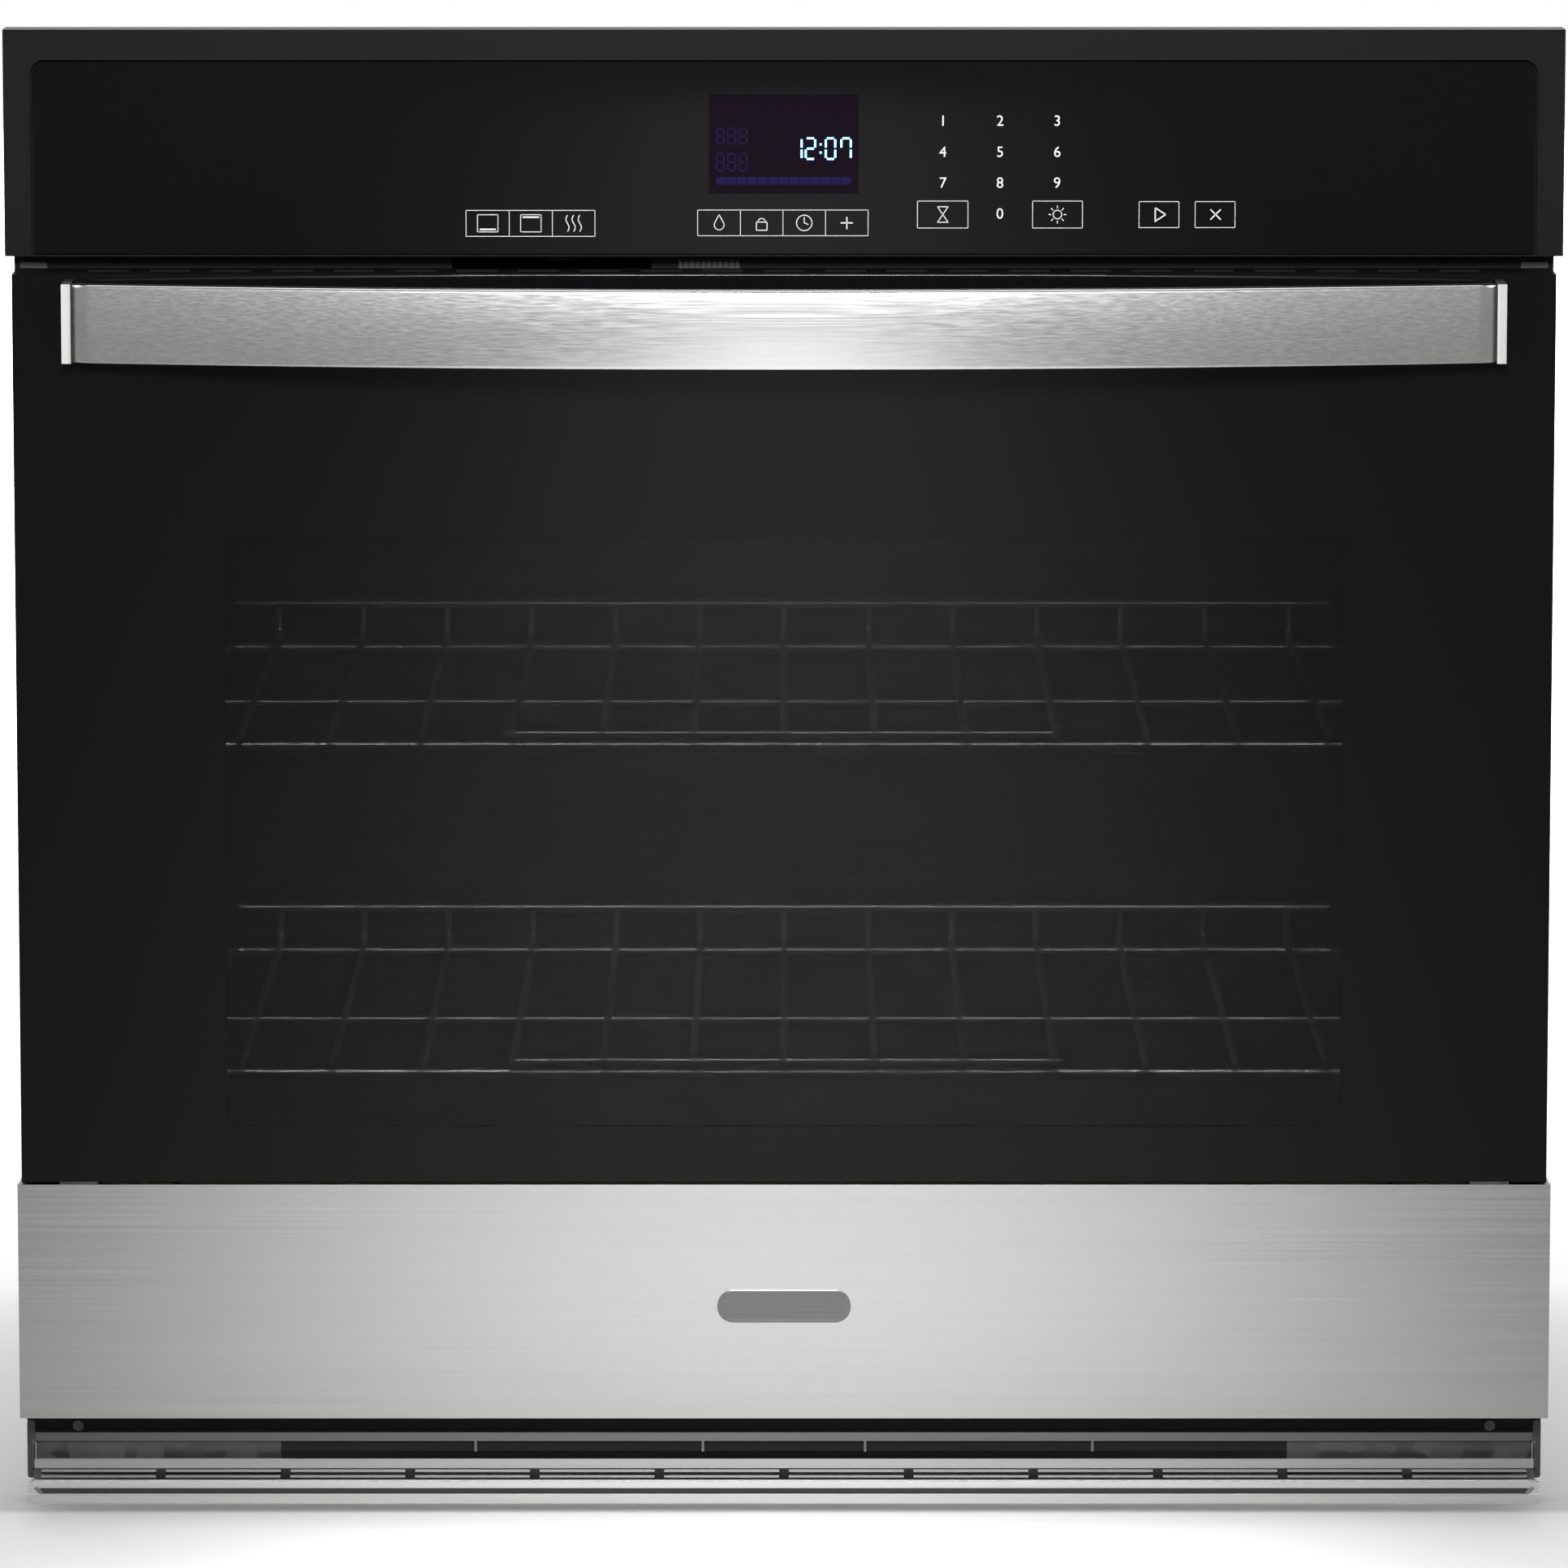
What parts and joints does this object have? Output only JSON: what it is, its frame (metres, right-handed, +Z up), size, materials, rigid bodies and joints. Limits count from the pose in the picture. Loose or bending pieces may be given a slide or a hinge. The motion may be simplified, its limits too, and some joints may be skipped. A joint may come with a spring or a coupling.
{
  "type": "wall oven",
  "caption": "Built-in single electric wall oven with a drop-down glass door, bowed handle, touch control panel, wire racks and a front air vent.",
  "frame": {"origin": "middle of the front edge of the base, in the plane of the cabinet's face and the cut-out's floor", "axes": "+X to the right of someone facing the oven, +Y into the cabinet, +Z up"},
  "size_m": [0.762, 0.6829, 0.7334],
  "materials": {
    "black_glass": "gloss",
    "clear_glass": "gloss",
    "black_enamel": "gloss",
    "cavity_enamel": "gloss",
    "steel_front": "brushed",
    "steel_polished": "polished",
    "galvanised_steel": "satin",
    "rack_plating": "polished",
    "mineral_wool": "matte",
    "glass_rope": "matte",
    "heater_sheath": "matte",
    "black_plastic": "matte",
    "circuit_board": "gloss",
    "hinge_steel": "satin",
    "wheel_aluminium": "satin",
    "badge_metal": "satin"
  },
  "bodies": {
    "chassis": {"side_panels": "galvanised_steel", "top_panel": "galvanised_steel", "base_panel": "galvanised_steel", "rear_panel": "galvanised_steel", "base_rails": "galvanised_steel", "upper_deck": "galvanised_steel", "front_frame": "black_enamel", "frame_screws": "hinge_steel", "outlet_comb": "black_plastic", "oven_liner": "cavity_enamel", "rack_ledges": "cavity_enamel", "oven_insulation": "mineral_wool", "door_gasket": "glass_rope", "broil_element": "heater_sheath", "bake_element": "heater_sheath", "bake_element_tray": "galvanised_steel", "temperature_sensor": "hinge_steel", "lamp_housing": "galvanised_steel", "lamp_bulb": "clear_glass", "lamp_lens": "clear_glass", "vent_tube": "galvanised_steel", "cooling_duct": "galvanised_steel", "blower_housing": "galvanised_steel", "blower_motor": "black_plastic", "relay_board": "circuit_board", "junction_box": "galvanised_steel", "thermal_cutout": "black_plastic", "latch_motor": "black_plastic", "light_switch_housing": "black_plastic", "hinge_receivers": "hinge_steel", "hinge_arms": "hinge_steel", "control_frame": "black_enamel", "control_glass": "black_glass", "touch_board": "circuit_board", "display_module": "black_plastic", "vent_top_strip": "steel_front", "vent_side_plates": "galvanised_steel", "vent_side_brackets": "steel_front", "vent_louvre_panel": "steel_front", "vent_lower_trim": "steel_front"},
    "door": {"door_outer_glass": "black_glass", "door_middle_glass": "clear_glass", "door_inner_glass": "clear_glass", "door_lower_panel": "steel_front", "door_top_trim": "black_enamel", "door_side_trims": "black_enamel", "door_inner_panel": "cavity_enamel", "door_insulation": "mineral_wool", "door_handle": "steel_front", "handle_end_posts": "steel_polished", "name_badge": "badge_metal", "hinge_channels": "galvanised_steel", "hinge_pins": "hinge_steel", "hinge_springs": "hinge_steel"},
    "blower_wheel": {"blower_wheel": "wheel_aluminium"},
    "latch_hook": {"latch_hook": "hinge_steel"},
    "light_switch_plunger": {"light_switch_plunger": "black_plastic"},
    "rack_upper": {"rack_upper": "rack_plating"},
    "rack_lower": {"rack_lower": "rack_plating"},
    "hinge_rods": {"hinge_rods": "hinge_steel"}
  },
  "joints": [
    {"name": "door_hinge", "type": "hinge", "parent": "chassis", "child": "door", "pos_m": [0, -0.023, 0.0405], "axis": [1, 0, 0], "range_deg": [0, 90], "stiffness_Nm_per_rad": 15, "springref_deg": -17.19},
    {"name": "hinge_rod_slide", "type": "slide", "parent": "door", "child": "hinge_rods", "axis": [0, 0, -1], "range_m": [0, 0.0285], "deforming": ["hinge_springs"]},
    {"name": "light_switch_travel", "type": "slide", "parent": "chassis", "child": "light_switch_plunger", "axis": [0, -1, 0], "range_m": [0, 0.0051]},
    {"name": "latch_turn", "type": "hinge", "parent": "chassis", "child": "latch_hook", "pos_m": [0, 0.025, 0.5735], "axis": [0, 0, 1], "range_deg": [0, 20]},
    {"name": "blower_spin", "type": "hinge", "parent": "chassis", "child": "blower_wheel", "pos_m": [-0.114, 0.373, 0.61], "axis": [0, 0, 1], "continuous": true},
    {"name": "rack_upper_slide", "type": "slide", "parent": "chassis", "child": "rack_upper", "axis": [0, -1, 0], "range_m": [0, 0.04]},
    {"name": "rack_lower_slide", "type": "slide", "parent": "chassis", "child": "rack_lower", "axis": [0, -1, 0], "range_m": [0, 0.04]}
  ],
  "couplings": [
    {"joint": "hinge_rod_slide", "follows": "door_hinge", "m_per_rad": 0.018},
    {"joint": "light_switch_travel", "follows": "door_hinge", "m_per_rad": 0.0031831}
  ]
}
